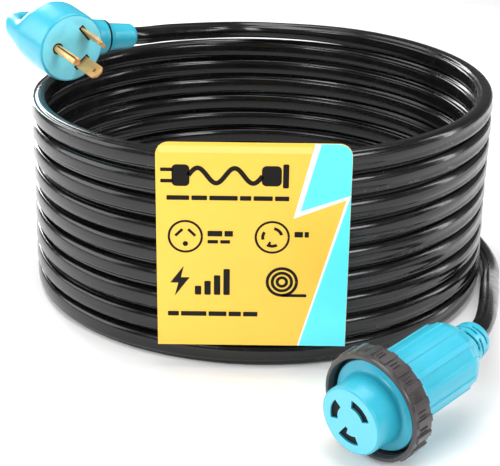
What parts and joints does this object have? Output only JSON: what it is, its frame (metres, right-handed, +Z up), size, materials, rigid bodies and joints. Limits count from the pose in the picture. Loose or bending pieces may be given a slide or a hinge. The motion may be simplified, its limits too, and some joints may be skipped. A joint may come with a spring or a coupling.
{
  "type": "shore power cord",
  "caption": "Coiled heavy shore power cord for a caravan, with a moulded bladed plug with a pull handle, a locking connector with a threaded ring, and a label card on the coil.",
  "frame": {"origin": "middle of the footprint's bounding box, on the floor that the coil lies on", "axes": "+Z up along the coil's axis; the label card faces -Y; the plug is on the -X side and the connector is at the front, towards -Y"},
  "size_m": [0.4265, 0.5457, 0.2253],
  "materials": {
    "cord_jacket": "glossy black extruded jacket with three shallow lobes",
    "cyan_moulding": "satin cyan moulded vinyl",
    "pale_moulding": "satin pale cyan moulded face",
    "ring_plastic": "satin dark warm grey moulded plastic",
    "contact_metal": "polished brass",
    "insulator": "black moulded insulator",
    "wire_skin": "extruded insulation",
    "seal_rubber": "black sealing rubber",
    "printed_card": "smooth printed card in yellow and pale cyan"
  },
  "bodies": {
    "cord_set": {"plug_body": "cyan_moulding", "plug_handle": "cyan_moulding", "plug_face_plate": "pale_moulding", "plug_blade_carrier": "insulator", "line_blade": "contact_metal", "neutral_blade": "contact_metal", "ground_pin": "contact_metal", "plug_strain_relief": "cyan_moulding", "plug_wire_line": "wire_skin", "plug_wire_neutral": "wire_skin", "plug_wire_ground": "wire_skin", "connector_nose": "cyan_moulding", "contact_carrier": "insulator", "line_contact": "contact_metal", "neutral_contact": "contact_metal", "ground_contact": "contact_metal", "ring_seal": "seal_rubber", "connector_body": "cyan_moulding", "connector_strain_relief": "cyan_moulding", "connector_wire_line": "wire_skin", "connector_wire_neutral": "wire_skin", "connector_wire_ground": "wire_skin", "cord_coil": "cord_jacket", "cord_tail_plug": "cord_jacket", "cord_tail_connector": "cord_jacket"},
    "ring": {"locking_ring": "ring_plastic"},
    "card": {"label_card": "printed_card", "card_hook": "printed_card"}
  },
  "joints": [
    {"name": "ring_turn", "type": "hinge", "parent": "cord_set", "child": "ring", "pos_m": [0.08124, -0.23736, 0.04052], "axis": [-0.7052, -0.7013, -0.1044], "continuous": true},
    {"name": "card_lift", "type": "slide", "parent": "cord_set", "child": "card", "axis": [0, 0, 1], "range_m": [0, 0.2]}
  ]
}
